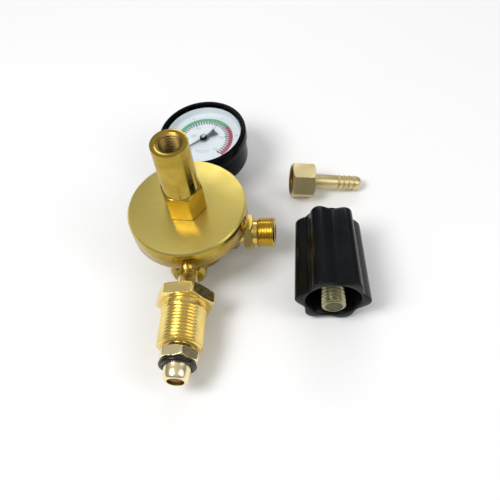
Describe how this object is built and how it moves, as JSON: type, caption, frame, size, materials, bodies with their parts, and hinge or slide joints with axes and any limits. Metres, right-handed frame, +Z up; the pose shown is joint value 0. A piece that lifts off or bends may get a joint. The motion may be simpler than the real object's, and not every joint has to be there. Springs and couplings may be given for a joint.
{
  "type": "gas regulator",
  "caption": "Adjustable gas pressure regulator with a side gauge, bull-nose inlet and threaded outlet; its adjusting knob and hose connector lie beside it.",
  "frame": {"origin": "the point on the bench under the axis of the spring tube, where the rear plug stands", "axes": "+Z up along the spring tube, +X out of the threaded outlet, -Y out of the bull-nose inlet, +Y towards the gauge"},
  "size_m": [0.1248, 0.1698, 0.0888],
  "materials": {
    "brass": "satin turned brass, brighter on the chamfers",
    "steel": "plated steel, machined",
    "black_plastic": "glossy black moulded plastic and enamel",
    "rubber": "black, smooth",
    "white_enamel": "white enamel with a printed scale",
    "window": "clear moulded window",
    "sintered_bronze": "dull bronze",
    "nylon": "off-white seat pad",
    "fibre": "red fibre washer"
  },
  "bodies": {
    "housing": {"adjusting_spring": "steel", "bonnet_cap": "brass", "bourdon_tube": "sintered_bronze", "clamp_ring": "brass", "dial_plate": "white_enamel", "dial_screw_left": "steel", "dial_screw_right": "steel", "diaphragm": "rubber", "gauge_bezel": "black_plastic", "gauge_case": "black_plastic", "gauge_stem": "brass", "gauge_window": "window", "hairspring": "sintered_bronze", "inlet_filter": "sintered_bronze", "inlet_nipple": "brass", "inlet_seal_ring": "rubber", "movement_frame": "brass", "movement_front_plate": "brass", "outlet_fitting": "brass", "plug_washer": "fibre", "rear_plug": "brass", "regulator_body": "brass", "spring_tube": "brass", "stop_pin": "steel", "valve_seat": "brass", "valve_spring": "steel"},
    "spring_button": {"spring_button": "steel"},
    "diaphragm_plates": {"diaphragm_plate": "brass", "diaphragm_button": "brass"},
    "valve": {"valve_pin": "steel", "valve_pad": "nylon", "valve_holder": "brass"},
    "inlet_nut": {"inlet_nut": "brass"},
    "pointer": {"pointer": "black_plastic", "pointer_boss": "steel", "pinion": "brass"},
    "sector": {"sector_gear": "brass"},
    "link": {"link": "steel"},
    "knob": {"adjusting_knob": "black_plastic", "knob_stud": "steel"},
    "hose_nipple": {"hose_nipple": "brass"},
    "union_nut": {"union_nut": "brass"}
  },
  "joints": [
    {"name": "spring_adjust", "type": "slide", "parent": "housing", "child": "spring_button", "axis": [0, 0, -1], "range_m": [0, 0.008], "deforming": ["adjusting_spring"]},
    {"name": "diaphragm_travel", "type": "slide", "parent": "housing", "child": "diaphragm_plates", "axis": [0, 0, -1], "range_m": [0, 0.001], "deforming": ["diaphragm"]},
    {"name": "valve_travel", "type": "slide", "parent": "housing", "child": "valve", "axis": [0, 0, -1], "range_m": [0, 0.001], "deforming": ["valve_spring"]},
    {"name": "inlet_nut_turn", "type": "hinge", "parent": "housing", "child": "inlet_nut", "pos_m": [0, 0, 0.0174], "axis": [0, -1, 0], "continuous": true},
    {"name": "pointer_turn", "type": "hinge", "parent": "housing", "child": "pointer", "pos_m": [0.00204, 0.05836, 0.0174], "axis": [0.0314, -0.0011, -0.9995], "range_deg": [0, 270]},
    {"name": "sector_turn", "type": "hinge", "parent": "housing", "child": "sector", "pos_m": [-0.0022, 0.05158, 0.01727], "axis": [-0.0314, 0.0011, 0.9995], "range_deg": [0, 38.6], "deforming": ["bourdon_tube", "hairspring"]},
    {"name": "link_turn", "type": "hinge", "parent": "sector", "child": "link", "pos_m": [-0.00834, 0.05398, 0.01708], "axis": [-0.0314, 0.0011, 0.9995], "range_deg": [-38.6, 0]},
    {"name": "knob_lift", "type": "slide", "parent": "housing", "child": "knob", "axis": [0, 0, 1], "range_m": [0, 0.1]},
    {"name": "hose_connector_lift", "type": "slide", "parent": "housing", "child": "hose_nipple", "axis": [0, 0, 1], "range_m": [0, 0.1]},
    {"name": "union_nut_turn", "type": "hinge", "parent": "hose_nipple", "child": "union_nut", "pos_m": [0.0517, 0.0411, 0.01129], "axis": [0.9797, 0.0754, -0.1857], "continuous": true}
  ],
  "couplings": [
    {"joint": "valve_travel", "follows": "diaphragm_travel", "ratio": 1},
    {"joint": "sector_turn", "follows": "pointer_turn", "ratio": 0.14286},
    {"joint": "link_turn", "follows": "pointer_turn", "ratio": -0.14286}
  ]
}
